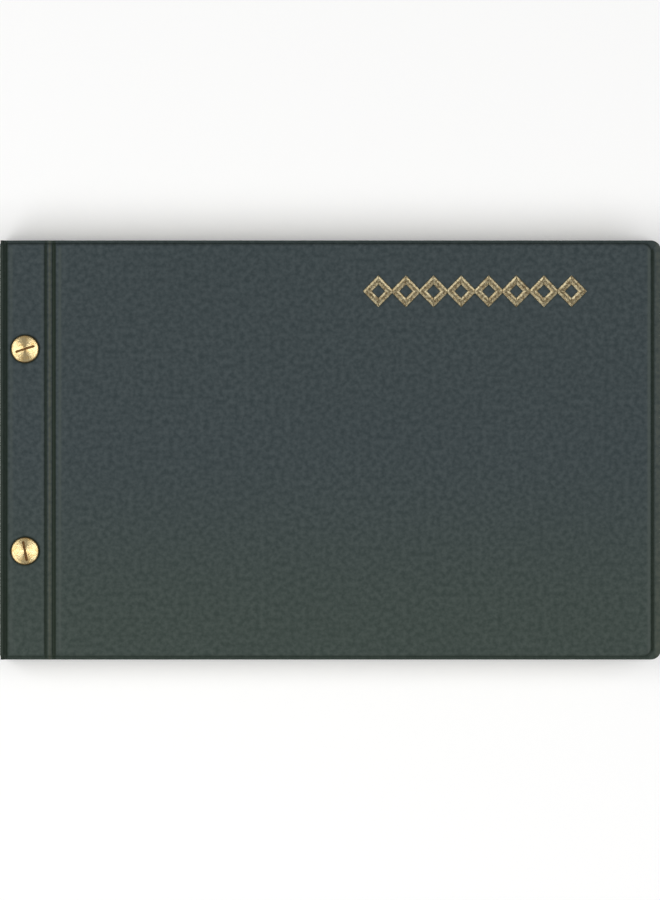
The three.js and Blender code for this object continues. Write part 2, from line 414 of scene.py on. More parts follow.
def new_piece(name, points, faces, material, sheet=None):
    """A mesh object at the origin. sheet gives each point's place on the flat sheet, for its pattern."""
    mesh = bpy.data.meshes.new(name)
    mesh.from_pydata([tuple(map(float, p)) for p in points], [], faces)
    mesh.materials.append(material)
    if sheet is not None:
        layer = mesh.uv_layers.new(name="sheet")
        corners = np.empty(len(mesh.loops), int)
        mesh.loops.foreach_get("vertex_index", corners)
        layer.data.foreach_set("uv", np.asarray(sheet, np.float32)[corners].ravel())
    mesh.validate()
    obj = bpy.data.objects.new(name, mesh)
    bpy.context.scene.collection.objects.link(obj)
    return obj


def smooth(obj, angle):
    """Shades smooth across the edges that bend by less than angle, in degrees."""
    bpy.context.view_layer.objects.active = obj
    obj.select_set(True)
    bpy.ops.object.shade_smooth_by_angle(angle=math.radians(angle))
    obj.select_set(False)


def bake_modifiers(obj):
    """Turns the object's modifiers into plain mesh."""
    graph = bpy.context.evaluated_depsgraph_get()
    made = bpy.data.meshes.new_from_object(obj.evaluated_get(graph))
    obj.modifiers.clear()
    obj.data = made


def cut_out(obj, cutter):
    """Cuts the cutter's shape out of the object, and removes the cutter."""
    cut = obj.modifiers.new("cut", "BOOLEAN")
    cut.object = cutter
    cut.solver = "EXACT"
    bake_modifiers(obj)
    bpy.data.objects.remove(cutter)


HOLE_SIDES = 40
HOLE_REACH = 100 * MM       # longer than the book is thick


def punch(obj):
    """Cuts the two post holes through the object."""
    for x, y in POST_CENTRES:
        bpy.ops.mesh.primitive_cylinder_add(
            vertices=HOLE_SIDES, radius=POST_HOLE, depth=HOLE_REACH, location=(float(x), float(y), 0)
        )
        cut_out(obj, bpy.context.object)


def lines(*stretches):
    """Grid lines: stretches of (start, end, step), joined and without doubles."""
    out = []
    for start, end, step in stretches:
        count = max(1, round((end - start) / step))
        out += list(np.linspace(start, end, count + 1))
    out = np.array(sorted(out))
    keep = np.concatenate([[True], np.diff(out) > 1e-7])
    return out[keep]


def round_corners(x, y):
    """Pulls the grid's two fore-edge corners in from square to round."""
    u = np.clip((x - (FORE_X - EDGE_RADIUS)) / EDGE_RADIUS, 0, None)
    v = np.clip((np.abs(y) - (HALF_Y - EDGE_RADIUS)) / EDGE_RADIUS, 0, None)
    both = (u > 0) & (v > 0)
    new_u = np.where(both, u * np.sqrt(1 - v * v / 2), u)
    new_v = np.where(both, v * np.sqrt(1 - u * u / 2), v)
    x = np.where(both, FORE_X - EDGE_RADIUS + new_u * EDGE_RADIUS, x)
    y = np.where(both, np.sign(y) * (HALF_Y - EDGE_RADIUS + new_v * EDGE_RADIUS), y)
    return x, y


def grid_faces(nx, ny):
    """A grid's quads, seen from above, and the loop round its edge."""
    index = np.arange(nx * ny).reshape(nx, ny)
    quads = np.stack([index[:-1, :-1], index[1:, :-1], index[1:, 1:], index[:-1, 1:]], -1)
    loop = np.concatenate([index[:-1, 0], index[-1, :-1], index[:0:-1, -1], index[0, :0:-1]])
    return quads.reshape(-1, 4), loop


def sheet_faces(nx, ny):
    """The faces of a closed sheet whose upper grid comes first and its lower grid after."""
    top, loop = grid_faces(nx, ny)
    after = np.roll(loop, -1)
    wall = np.stack([after, loop, loop + nx * ny, after + nx * ny], -1)
    return np.concatenate([top, top[:, ::-1] + nx * ny, wall]).tolist()


def mark(obj, key, share):
    """Gives the points of a closed sheet, alike on both sides, a value for its finish to read."""
    layer = obj.data.attributes.new(key, "FLOAT", "POINT")
    layer.data.foreach_set("value", np.tile(share.ravel(), 2).astype(np.float32))


def slab(name, xs, ys, upper, lower, side, material):
    """A closed sheet over a grid, between two heights above the cover's inner face. side 1 is the
    front, and side -1 the back, which is the front turned half a turn about X."""
    gx, gy = round_corners(*np.meshgrid(xs, ys, indexing="ij"))
    flat = np.stack([gx.ravel(), gy.ravel()], 1)
    base = FRONT_INNER if side > 0 else BACK_INNER
    place = np.column_stack([flat[:, 0], side * flat[:, 1]])
    tops = np.column_stack([place, base + side * upper(gx, gy).ravel()])
    bottoms = np.column_stack([place, base + side * lower(gx, gy).ravel()])
    obj = new_piece(
        name, np.concatenate([tops, bottoms]), sheet_faces(len(xs), len(ys)), material,
        np.concatenate([flat, flat]),
    )
    # Marks for the finish: painted shade, a browning, and a painted highlight that is partly wear.
    mark(obj, "pressed", pressed(gx, gy, side))
    mark(obj, "warmed", warmed(gx))
    mark(obj, "rubbed", rubbed(gx, gy))
    return obj


# ---------------------------------------------------------------- the cover's cross-sections

def ease(t):
    t = np.clip(t, 0, 1)
    return t * t * (3 - 2 * t)


def shoulder(t):
    """A wall that leaves the flange steeply and rolls over into the panel."""
    t = np.clip(t, 0, 1)
    return 1 - (1 - t) ** 2.4


def hump(distance, reach):
    """1 at no distance, and falling away on both sides within about twice the reach."""
    return np.exp(-(distance / reach) ** 2)


def band(distance, half, fade):
    """1 up to half, and fading to 0 over the next stretch."""
    return 1 - ease((distance - half) / fade)


def rounded_inside(x, y, to_fore, to_end, radius):
    """Distance inside a line with rounded fore corners. It is less than 0 outside."""
    qx = x - (FORE_X - to_fore) + radius
    qy = np.abs(y) - (HALF_Y - to_end) + radius
    outside = np.hypot(np.maximum(qx, 0), np.maximum(qy, 0))
    return radius - outside - np.minimum(np.maximum(qx, qy), 0)


def weld_inside(x, y):
    return rounded_inside(x, y, FORE_WELD, END_WELD, WELD_RADIUS)


def edge_inside(x, y):
    return rounded_inside(x, y, 0, 0, EDGE_RADIUS)


WALL_RUN = 1.0 * MM         # how far a welded wall takes to roll over into its panel
SOFT_WALL_RUN = 1.2 * MM
GROOVE_FACE = WEB + 0.1 * MM
RIB_CREST = WEB + 0.66 * MM
RIB_HALF_WIDTH = 1.1 * MM
RIB_ROUNDNESS = 2.2
STRIP_EDGE = 0.8 * MM       # the strip's height beside the spine


def across(x):
    """The outer face's height across the strip, hinge and cover, away from the welds."""
    wall = PANEL - GROOVE_FACE
    strip = GROOVE_FACE + wall * shoulder((GROOVE_A - 0.2 * MM - x) / WALL_RUN)
    cover = GROOVE_FACE + wall * shoulder((x - GROOVE_B - 0.25 * MM) / SOFT_WALL_RUN)
    bead = np.clip(np.abs(x - RIB_X) / RIB_HALF_WIDTH, 0, 1)
    rib = GROOVE_FACE + (RIB_CREST - GROOVE_FACE) * np.clip(1 - bead ** RIB_ROUNDNESS, 0, 1)
    rise = shoulder((x - STRIP_X0 - 0.02 * MM) / SOFT_WALL_RUN)
    corner = STRIP_EDGE + (PANEL - STRIP_EDGE) * rise
    return np.where(x < GROOVE_A, np.minimum(strip, corner), np.where(x > GROOVE_B, cover, rib))


HEAD_DIP = 0.2 * MM
HEAD_DIP_RUN = 0.8 * MM


def head_dips(x, y):
    """How far the screw heads press into the vinyl around them."""
    dip = np.zeros_like(x)
    for centre in POST_CENTRES:
        away = np.hypot(x - centre[0], y - centre[1])
        dip = dip + HEAD_DIP * (1 - ease((away - HEAD_RADIUS + 0.1 * MM) / HEAD_DIP_RUN))
    return dip


SWELL = 0.02 * MM
SWELL_ACROSS = 17 * MM
SWELL_ALONG = 23 * MM


def swell(x, y):
    """The slight unevenness of vinyl over board."""
    return SWELL * np.sin(x / SWELL_ACROSS + 1.3) * np.cos(y / SWELL_ALONG - 0.4)


FLANGE_FACE = FLANGE_FLOOR + SKIN + 0.05 * MM
WELD_GROOVE = 0.24 * MM
WELD_GROOVE_OUT = 0.25 * MM     # from the weld's inner line out to the groove
WELD_GROOVE_REACH = 0.3 * MM
LIP_DROP = 0.22 * MM
LIP_RUN = 0.32 * MM


def flange(x, y):
    """The welded edge: a pressed groove, then a soft lip that rounds off at the cut."""
    groove = WELD_GROOVE * hump(weld_inside(x, y) + WELD_GROOVE_OUT, WELD_GROOVE_REACH)
    lip = 1 - np.clip(edge_inside(x, y) / LIP_RUN, 0, 1)
    return FLANGE_FACE - groove - LIP_DROP * (1 - np.sqrt(1 - lip ** 2))


def outer_face(x, y):
    """The outer face of either cover, welds and all."""
    wall = shoulder(weld_inside(x, y) / WALL_RUN)
    raised = across(x) - head_dips(x, y) + swell(x, y) * wall - 0.02 * MM
    return flange(x, y) + (raised - flange(x, y)) * wall


def front_face(x, y):
    """The front cover's outer face, with the ornament stamped into it."""
    return outer_face(x, y) - foil_dip(x, y)


def pressed(x, y, side):
    """1 where the vinyl is darkened as painted shade: in the hinge grooves, beside the spine, at the welds,
    and round the screw heads and the stamped ornament.
    """
    near = 0.9 * band(np.abs(x - GROOVE_A), 0.15 * MM, 0.65 * MM)
    far = band(np.abs(x - GROOVE_B - 0.1 * MM), 0.35 * MM, 0.75 * MM)
    spine = 0.85 * band(x - SPINE_X, 2.4 * MM, 0.9 * MM)
    inside = weld_inside(x, y)
    fore = 0.85 * band(np.abs(inside + 0.15 * MM), 0.3 * MM, 0.8 * MM)
    at_end = HALF_Y - np.abs(y) < FORE_X - x
    edge = np.where(at_end, 0.4 * band(inside, 0.0, 0.9 * MM), fore)
    ring = np.zeros_like(x)
    for centre in POST_CENTRES:
        away = np.hypot(x - centre[0], y - centre[1])
        ring = np.maximum(ring, band(away, HEAD_RADIUS, 0.6 * MM))
    stamp = 0.5 * ease(foil_dip(x, y) / (0.1 * MM)) if side > 0 else np.zeros_like(x)
    return np.maximum.reduce([near, far, spine, edge, ring, stamp])


def warmed(x):
    """1 where handling has browned the vinyl: the rib's crest and the fore lip."""
    crest = hump(x - RIB_X, 0.5 * MM)
    lip = 0.55 * ease((x - FORE_X + 2.3 * MM) / (0.9 * MM))
    return np.clip(crest + lip, 0, 1)


def rubbed(x, y):
    """1 along the boards' long edges, where the vinyl turns over them: a painted highlight on the
    shoulders, which are also worn paler.
    """
    edges = (
        (SPINE_X + 3.9 * MM, 0.6),
        (STRIP_X1 - 0.2 * MM, 0.35),
        (COVER_X0 + 0.5 * MM, 0.9),
        (FORE_X - 4.2 * MM, 1.0),
    )
    out = np.zeros_like(x)
    for place, share in edges:
        out = np.maximum(out, share * hump(x - place, 0.55 * MM))
    return out * ease((HALF_Y - 1.2 * MM - np.abs(y)) / (2.0 * MM))


def hinge_share(x):
    """1 across the hinge's grooves and rib, and 0 on the panels."""
    start = ease((x - STRIP_X1 + 0.25 * MM) / (0.9 * MM))
    end = 1 - ease((x - COVER_X0 + 0.65 * MM) / (0.9 * MM))
    return start * end


def rib_hollow(x):
    return np.clip(1 - ((x - RIB_X) / (0.85 * MM)) ** 2, 0, 1)


def inner_floor(x, y):
    """Where the liner meets the skin: flat in the panels, and pressed up to the web at the hinge."""
    lift = (WEB - 0.05 * MM - FLANGE_FLOOR) * hinge_share(x) * ease(weld_inside(x, y) / WALL_RUN)
    return FLANGE_FLOOR + lift * (1 - 0.3 * rib_hollow(x))


def skin_back(x, y):
    """The skin's hidden inner side, a gauge under its face."""
    return np.maximum(outer_face(x, y) - SKIN + 0.1 * MM * hinge_share(x), inner_floor(x, y))


def liner_top(x, y):
    return inner_floor(x, y) - 0.01 * MM


def liner_face(x, y):
    """The inside face of the cover, with the weld pressed into it at the edges."""
    press = 0.1 * MM * hump(weld_inside(x, y) + 0.22 * MM, 0.25 * MM)
    lift = (WEB - 0.25 * MM) * hinge_share(x) * ease(weld_inside(x, y) / WALL_RUN)
    under = lift * (1 - 0.45 * rib_hollow(x)) + press
    return np.minimum(under, liner_top(x, y) - 0.08 * MM)


# ---------------------------------------------------------------- foil ornament: a chain of lozenges

FOIL_LOW, FOIL_HIGH = low("title_foil"), high("title_foil")
LINKS = 8
FOIL_OVERLAP = 1.2 * MM
FOIL_STROKE = 2.2 * MM
FOIL_STEP = (FOIL_HIGH[0] - FOIL_LOW[0] - FOIL_OVERLAP) / LINKS
LINK_X = (FOIL_STEP + FOIL_OVERLAP) / 2
LINK_Y = (FOIL_HIGH[1] - FOIL_LOW[1]) / 2
FOIL_MID = (FOIL_LOW + FOIL_HIGH) / 2
SLANT = math.hypot(LINK_X, LINK_Y)
HOLE_X = LINK_X - FOIL_STROKE * SLANT / LINK_Y
HOLE_Y = LINK_Y - FOIL_STROKE * SLANT / LINK_X
STAMP_DEPTH = 0.26 * MM
FOIL_LIFT = 0.012 * MM
FOIL_GAUGE = 0.04 * MM
FOIL_DISH = 0.2 * MM        # how far the middle of a stroke lies below its edges
STROKE_POINTS = 15


def foil_inside(x, y):
    """Distance inside the nearest edge of the stroke, in a link centred on 0. Less than 0 is outside."""
    outer = (1 - np.abs(x) / LINK_X - np.abs(y) / LINK_Y) * LINK_X * LINK_Y / SLANT
    hole_slant = math.hypot(HOLE_X, HOLE_Y)
    inner = (np.abs(x) / HOLE_X + np.abs(y) / HOLE_Y - 1) * HOLE_X * HOLE_Y / hole_slant
    return np.minimum(outer, inner)


def foil_dip(x, y):
    """How deep the stamp pressed the vinyl under the foil."""
    along = x - FOIL_LOW[0] - FOIL_OVERLAP / 2
    within = (along > 0) & (along < LINKS * FOIL_STEP)
    local = np.mod(along, FOIL_STEP) - FOIL_STEP / 2
    inside = np.where(within, foil_inside(local, y - FOIL_MID[1]), -1)
    return STAMP_DEPTH * ease((inside + 0.35 * MM) / (0.6 * MM))


# Places across a stroke, closer together towards its edges
STROKE_ROWS = (1 - np.cos(np.linspace(0, math.pi, STROKE_POINTS))) / 2


def foil_strokes(columns, signs, start):
    """Strokes of one link over the columns, on the given sides of its centre at start. Their face is
    dished, as a stamp leaves it."""
    surface = FRONT_OUTER + FOIL_LIFT
    points, faces = [], []
    for sign_x, sign_y in ((a, b) for a in signs for b in (1, -1)):
        first = len(points)
        for x in columns:
            outer = max(0.0, LINK_Y * (1 - x / LINK_X))
            inner = max(0.0, HOLE_Y * (1 - x / HOLE_X))
            ys = outer + (inner - outer) * STROKE_ROWS
            sunk = FOIL_DISH * ease(foil_inside(x, ys) / (0.9 * MM))
            for y, down in zip(ys, sunk):
                place = (start + sign_x * x, FOIL_MID[1] + sign_y * y)
                points += [(*place, surface - down), (*place, surface - down - FOIL_GAUGE)]
        rows = len(STROKE_ROWS)
        index = first + np.arange(len(columns) * rows * 2).reshape(len(columns), rows, 2)
        quads = []
        for i in range(len(columns) - 1):
            for k in range(rows - 1):
                for level, back in ((0, 1), (1, -1)):
                    quad = [index[i, k, level], index[i, k + 1, level],
                            index[i + 1, k + 1, level], index[i + 1, k, level]]
                    quads.append(quad[::back])
            quads.append([index[i, 0, 0], index[i + 1, 0, 0], index[i + 1, 0, 1], index[i, 0, 1]])
            if columns[i + 1] <= HOLE_X + 1e-9:
                quads.append([index[i, -1, 1], index[i + 1, -1, 1], index[i + 1, -1, 0], index[i, -1, 0]])
        faces += [q if sign_x * sign_y > 0 else q[::-1] for q in quads]
    return points, [tuple(map(int, q)) for q in faces]


# ---------------------------------------------------------------- Geometry Nodes

def node_tree(name, *inputs):
    """A Geometry Nodes tree with named inputs, and a function that adds a node to it."""
    tree = bpy.data.node_groups.new(name, "GeometryNodeTree")
    tree.interface.new_socket("Geometry", in_out="INPUT", socket_type="NodeSocketGeometry")
    tree.interface.new_socket("Geometry", in_out="OUTPUT", socket_type="NodeSocketGeometry")
    for label, kind in inputs:
        tree.interface.new_socket(label, in_out="INPUT", socket_type=f"NodeSocket{kind}")

    def add(kind, settings=None, **sockets):
        node = tree.nodes.new(kind)
        for key, value in (settings or {}).items():
            setattr(node, key, value)
        for key, value in sockets.items():
            socket = node.inputs[key.replace("_", " ")]
            if isinstance(value, bpy.types.NodeSocket):
                tree.links.new(value, socket)
            else:
                socket.default_value = value
        return node

    return tree, add


def run_nodes(obj, tree, **values):
    """Runs the tree on the object with these inputs, and keeps the result as plain mesh."""
    modifier = obj.modifiers.new("build", "NODES")
    modifier.node_group = tree
    for item in tree.interface.items_tree:
        key = item.name.replace(" ", "_").lower()
        if item.in_out == "INPUT" and key in values:
            modifier[item.identifier] = values[key]
    bake_modifiers(obj)


def copy_to(points, given, tree, add):
    """Ends a tree with a copy of the mesh at every point, made real and given its finish."""
    mesh = given.outputs["Geometry"]
    copies = add("GeometryNodeInstanceOnPoints", Points=points, Instance=mesh)
    real = add("GeometryNodeRealizeInstances", Geometry=copies.outputs[0])
    done = add("GeometryNodeSetMaterial", Geometry=real.outputs[0], Material=given.outputs["Finish"])
    out = add("NodeGroupOutput")
    tree.links.new(done.outputs[0], out.inputs[0])


def stack_tree():
    """Copies the mesh up a line, each copy slipped a little sideways."""
    tree, add = node_tree(
        "stack", ("Copies", "Int"), ("Pitch", "Float"), ("Slip", "Float"), ("Seed", "Int"),
        ("Finish", "Material"),
    )
    given = add("NodeGroupInput")
    step = add("ShaderNodeCombineXYZ", Z=given.outputs["Pitch"])
    line = add("GeometryNodeMeshLine", Count=given.outputs["Copies"], Offset=step.outputs[0])
    against = add("ShaderNodeMath", {"operation": "MULTIPLY"})
    tree.links.new(given.outputs["Slip"], against.inputs[0])
    against.inputs[1].default_value = -1.0
    far = add("ShaderNodeCombineXYZ", X=given.outputs["Slip"], Y=given.outputs["Slip"])
    near = add("ShaderNodeCombineXYZ", X=against.outputs[0], Y=against.outputs[0])
    shift = add(
        "FunctionNodeRandomValue", {"data_type": "FLOAT_VECTOR"},
        Min=near.outputs[0], Max=far.outputs[0], Seed=given.outputs["Seed"],
    )
    spread = add("GeometryNodeSetPosition", Geometry=line.outputs[0], Offset=shift.outputs[0])
    copy_to(spread.outputs[0], given, tree, add)
    return tree


def chain_tree():
    """Copies the mesh along X in a chain."""
    tree, add = node_tree("chain", ("Links", "Int"), ("Step", "Float"), ("Finish", "Material"))
    given = add("NodeGroupInput")
    step = add("ShaderNodeCombineXYZ", X=given.outputs["Step"])
    line = add("GeometryNodeMeshLine", Count=given.outputs["Links"], Offset=step.outputs[0])
    copy_to(line.outputs[0], given, tree, add)
    return tree


# ---------------------------------------------------------------- pieces

vinyl = vinyl_finish()
liner = liner_finish()
board = board_finish()
brass = brass_finish()
foil = foil_finish()
paper = paper_finish()

# Where the covers' and spine's grids run fine and coarse: stretches of (start, end, step)
EDGE_BAND = 2.6 * MM
CORNER_BAND = 5 * MM
POST_BAND = 6.4 * MM
EDGE_STEP = 0.19 * MM
POST_STEP = 0.43 * MM
WIDE_STEP = 4.0 * MM
END_LINES = (
    (-HALF_Y, -HALF_Y + EDGE_BAND, EDGE_STEP),
    (HALF_Y - EDGE_BAND, HALF_Y, EDGE_STEP),
    (-HALF_Y + EDGE_BAND, HALF_Y - EDGE_BAND, WIDE_STEP),
)
CORNER_LINES = (
    (HALF_Y - CORNER_BAND, HALF_Y - EDGE_BAND, 0.3 * MM),
    (-HALF_Y + EDGE_BAND, -HALF_Y + CORNER_BAND, 0.3 * MM),
)
POST_LINES = tuple((y - POST_BAND, y + POST_BAND, POST_STEP) for _, y in POST_CENTRES)
HINGE_START = STRIP_X1 - 1.0 * MM
HINGE_END = COVER_X0 + 1.6 * MM


def cover_pieces(side):
    """The vinyl of one side: one skin outside and one liner inside, from the spine to the fore edge."""
    word = "front" if side > 0 else "back"
    skin_x = [
        (STRIP_X0, STRIP_X0 + 1.8 * MM, 0.12 * MM),
        (STRIP_X0 + 1.8 * MM, HINGE_START, POST_STEP),
        (HINGE_START, HINGE_END, 0.13 * MM),
        (HINGE_END, FORE_X - 6 * MM, WIDE_STEP),
        (FORE_X - 6 * MM, FORE_X, EDGE_STEP),
    ]
    skin_y = [*END_LINES, *CORNER_LINES, *POST_LINES]
    if side > 0:
        skin_x.append((FOIL_LOW[0] - 0.6 * MM, FOIL_HIGH[0] + 0.6 * MM, FOIL_STEP / 12))
        skin_y.append((FOIL_LOW[1] - 0.6 * MM, FOIL_HIGH[1] + 0.6 * MM, 0.4 * MM))
    liner_x = [
        (STRIP_X0, HINGE_START, 2.0 * MM),
        (HINGE_START, HINGE_END, 0.15 * MM),
        (HINGE_END, FORE_X - 6 * MM, 6.0 * MM),
        (FORE_X - 6 * MM, FORE_X, 0.25 * MM),
    ]
    face = front_face if side > 0 else outer_face
    skin = slab(f"{word}_cover_vinyl", lines(*skin_x), lines(*skin_y), face, skin_back, side, vinyl)
    inner = slab(
        f"{word}_cover_lining", lines(*liner_x), lines(*END_LINES, *CORNER_LINES), liner_top,
        liner_face, side, liner,
    )
    for obj, layer, slot in ((skin, "skin", "cover_vinyl"), (inner, "liner", "liner_vinyl")):
        punch(obj)
        smooth(obj, 40)
        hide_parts(f"{word}_strip_{layer}", f"{word}_cover_{layer}")
        GROOVE_A - 0.75 * MM
        GROOVE_B + 0.75 * MM
        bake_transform(obj)
    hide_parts(f"{word}_hinge_rib")


RIDGE_RADIUS = 0.72 * MM
RIDGE_SQUARENESS = 0.55     # 1 is round, and less is squarer
RIDGE_POINTS = 16
SPINE_FACE_POINTS = 8


def spine_path():
    """Half of the spine's cross-section, from beside the front strip over the ridge to the middle. Each
    row is the distance from the spine's outer face, the height above the book's middle, and the way out."""
    half = (FRONT_OUTER - BACK_OUTER) / 2 - 0.02 * MM
    ridge = RIDGE_RADIUS
    valley = STRIP_X0 - SPINE_X - 0.02 * MM
    rows = [(valley, half - 0.86 * MM, 0.0, 1.0), (valley - 0.25 * MM, half - 0.8 * MM, 0.2, 0.98)]
    for angle in np.linspace(0.12 * math.pi, math.pi, RIDGE_POINTS):
        out = (math.cos(angle), math.sin(angle))
        square = RIDGE_SQUARENESS if out[0] < 0 else 1.0
        along = math.copysign(abs(out[0]) ** square, out[0])
        rows.append((ridge * (1 + along), half - ridge * (1 - max(out[1], 0.0) ** square), *out))
    rows += [(0.0, z, -1.0, 0.0) for z in np.linspace(half - 1.3 * MM, 0, SPINE_FACE_POINTS)]
    return rows


def spine_piece():
    """The spine's vinyl, from beside one strip round both ridges to beside the other. At each end it
    thickens inwards to the liner, where the two are welded."""
    above = spine_path()
    rows = np.array(above + [(x, -z, nx, -nz) for x, z, nx, nz in above[-2::-1]])
    run = np.concatenate([[0], np.cumsum(np.hypot(*np.diff(rows[:, :2], axis=0).T))])
    middle = (FRONT_OUTER + BACK_OUTER) / 2
    ys = lines(*END_LINES)
    inside = HALF_Y - END_WELD - np.abs(ys)
    wall = shoulder(inside / WALL_RUN)
    step = 0.16 * MM * (1 - wall) + 0.06 * MM * hump(inside + WELD_GROOVE_OUT, WELD_GROOVE_REACH)
    weld = 1.1 * MM * ease((np.abs(ys) - HALF_Y + 1.1 * MM) / (0.3 * MM))
    deepest = np.where(rows[:, 2] < -0.999, SPINE_GAUGE - LINER - 0.04 * MM, 0.6 * MM)[:, None]
    layers = []
    for gauge in (np.zeros_like(ys), SKIN + weld):
        depth = np.minimum((step + gauge)[None, :], deepest)
        x = SPINE_X + rows[:, 0][:, None] - rows[:, 2][:, None] * depth
        z = middle + rows[:, 1][:, None] - rows[:, 3][:, None] * depth
        layers.append(np.stack([x, np.broadcast_to(ys, x.shape), z], -1).reshape(-1, 3))
    flat = np.stack(np.broadcast_arrays(run[:, None] + SPINE_X, ys[None, :]), -1).reshape(-1, 2)
    faces = [face[::-1] for face in sheet_faces(len(rows), len(ys))]
    obj = new_piece("spine_vinyl", np.concatenate(layers), faces, vinyl, np.tile(flat, (2, 1)))
    # Painted shade: the vinyl over the ridges, where it rounds away, and at the welded ends is marked to be
    # darkened.
    ridge = ease((np.abs(rows[:, 1]) - (FRONT_OUTER - BACK_OUTER) / 2 + 2.2 * MM) / (0.8 * MM))
    ridge = ridge * np.where(rows[:, 2] < -0.3, 1.1, 0.85)
    painted_dark = np.maximum(ridge[:, None], 0.4 * (1 - wall)[None, :])
    mark(obj, "pressed", painted_dark)
    smooth(obj, 50)
    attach(obj, "binding")
    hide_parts("spine_skin")


def spine_lining():
    """The spine's liner, against the leaves, with its long edges tucked in under the ridges."""
    top, bottom = FRONT_OUTER - 0.95 * MM, BACK_OUTER + 0.95 * MM
    zs, ys = lines((bottom, top, 0.6 * MM)), lines(*END_LINES)
    gz, gy = np.meshgrid(zs, ys, indexing="ij")
    inner = SPINE_X + SPINE_GAUGE
    edge = np.minimum(HALF_Y - np.abs(gy), np.minimum(top - gz, gz - bottom) + 0.3 * MM)
    press = 0.08 * MM * hump(edge - 0.7 * MM, 0.3 * MM)
    flat = np.stack([gz.ravel(), gy.ravel()], 1)
    face = np.column_stack([(inner - press).ravel(), gy.ravel(), gz.ravel()])
    back = np.column_stack([np.full(gz.size, inner - LINER), gy.ravel(), gz.ravel()])
    faces = [f[::-1] for f in sheet_faces(len(zs), len(ys))]
    obj = new_piece("spine_lining", np.concatenate([face, back]), faces, liner, np.tile(flat, (2, 1)))
    smooth(obj, 40)
    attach(obj, "binding")
    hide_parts("spine_liner")


TURNED_SEGMENTS = 96


def turned_mesh(name, profile, centre):
    """A closed turned shape about the vertical through centre. The profile starts and ends on it."""
    points, faces, rings = [], [], []
    for radius, z in profile:
        if radius < 1e-9:
            points.append((centre[0], centre[1], z))
            rings.append([len(points) - 1])
        else:
            ring = []
            for k in range(TURNED_SEGMENTS):
                angle = 2 * math.pi * k / TURNED_SEGMENTS
                x, y = centre[0] + radius * math.cos(angle), centre[1] + radius * math.sin(angle)
                points.append((x, y, z))
                ring.append(len(points) - 1)
            rings.append(ring)
    for one, two in zip(rings, rings[1:]):
        for k in range(TURNED_SEGMENTS):
            n = (k + 1) % TURNED_SEGMENTS
            if len(one) == 1:
                faces.append((one[0], two[n], two[k]))
            elif len(two) == 1:
                faces.append((one[k], one[n], two[0]))
            else:
                faces.append((one[k], one[n], two[n], two[k]))
    return new_piece(name, points, faces, brass)


def head_profile(seat, top, radius, direction):
    """From the seat's edge over a rounded rim, then in rings to the middle of a flat face."""
    rim = 0.24 * MM
    out = [(radius - 0.05 * MM, seat), (radius, seat + direction * 0.06 * MM)]
    for k in range(5):
        angle = math.pi / 2 * k / 4
        out.append((radius - rim + rim * math.cos(angle), top - direction * rim * (1 - math.sin(angle))))
    for k in range(1, 6):
        out.append(((radius - rim) * (1 - k / 6), top))
    out.append((0.0, top))
    return out


SLOT_ANGLES = {"upper": math.radians(17.7), "lower": math.radians(100.8)}
SLOT_LENGTH = 6.9 * MM
SLOT_WIDTH = 0.72 * MM
# The cutter's levels: the height above the head's face, and how much wider it is there
SLOT_LEVELS = ((-0.36 * MM, 0.0), (-0.07 * MM, 0.0), (0.0, 0.06 * MM), (0.3 * MM, 0.3 * MM))


def slot_cutter(centre, angle, top):
    """A prism with round ends, flared a little at the mouth."""
    straight = (SLOT_LENGTH - SLOT_WIDTH) / 2
    half = SLOT_WIDTH / 2
    ring = []
    for sign in (1, -1):
        for k in range(9):
            turn = math.pi * (k / 8 - 0.5) + (0 if sign > 0 else math.pi)
            ring.append((sign * straight + half * math.cos(turn), half * math.sin(turn)))
    c, s = math.cos(angle), math.sin(angle)
    points = []
    for rise, grow in SLOT_LEVELS:
        for x, y in ring:
            out_x = x + grow * (math.copysign(1, x) * (abs(x) > straight) * 0.7)
            out_y = y + grow * (y / half)
            across_x = centre[0] + c * out_x - s * out_y
            across_y = centre[1] + s * out_x + c * out_y
            points.append((across_x, across_y, top + rise))
    n = len(ring)
    last = (len(SLOT_LEVELS) - 1) * n
    faces = [tuple(range(n))[::-1], tuple(range(last, last + n))]
    for first in range(0, last, n):
        for k in range(n):
            m = (k + 1) % n
            faces.append((first + k, first + m, first + n + m, first + n + k))
    return new_piece("slot_cutter", points, faces, brass)


HEAD_SEAT = 0.02 * MM
SHANK_RADIUS = 1.7 * MM
SHANK_TIP_RADIUS = 1.4 * MM
SHANK_TIP = 0.3 * MM
POST_RADIUS = 2.6 * MM
BORE_RADIUS = 2.0 * MM
BORE_FLOOR = 2.4 * MM


def brass_pieces():
    """The two screws, each with a slot cut in its head, and the two posts they screw into."""
    seat_front, seat_back = FRONT_OUTER + HEAD_SEAT, BACK_OUTER - HEAD_SEAT
    for centre, place in POSTS:
        foot = low(f"binding_screw_{place}")[2]
        profile = [(0.0, foot), (SHANK_TIP_RADIUS, foot)]
        profile += [(SHANK_RADIUS, foot + SHANK_TIP), (SHANK_RADIUS, seat_front)]
        profile += head_profile(seat_front, FRONT_TOP, HEAD_RADIUS, 1)
        screw = turned_mesh(f"screw_{place}_brass", profile, centre)
        cut_out(screw, slot_cutter(centre, SLOT_ANGLES[place], FRONT_TOP))
        smooth(screw, 28)
        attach(screw, f"screw_{place}")
        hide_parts(f"binding_screw_{place}")

        top = high(f"binding_post_{place}")[2]
        profile = head_profile(seat_back, BACK_TOP, HEAD_RADIUS, -1)[::-1]
        profile += [(POST_RADIUS, seat_back), (POST_RADIUS, top - 0.15 * MM)]
        profile += [(2.45 * MM, top), (2.1 * MM, top), (BORE_RADIUS, top - 0.1 * MM)]
        profile += [(BORE_RADIUS, BORE_FLOOR), (0.0, BORE_FLOOR)]
        post = turned_mesh(f"post_{place}_brass", profile, centre)
        smooth(post, 28)
        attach(post, "binding")
        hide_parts(f"binding_post_{place}")


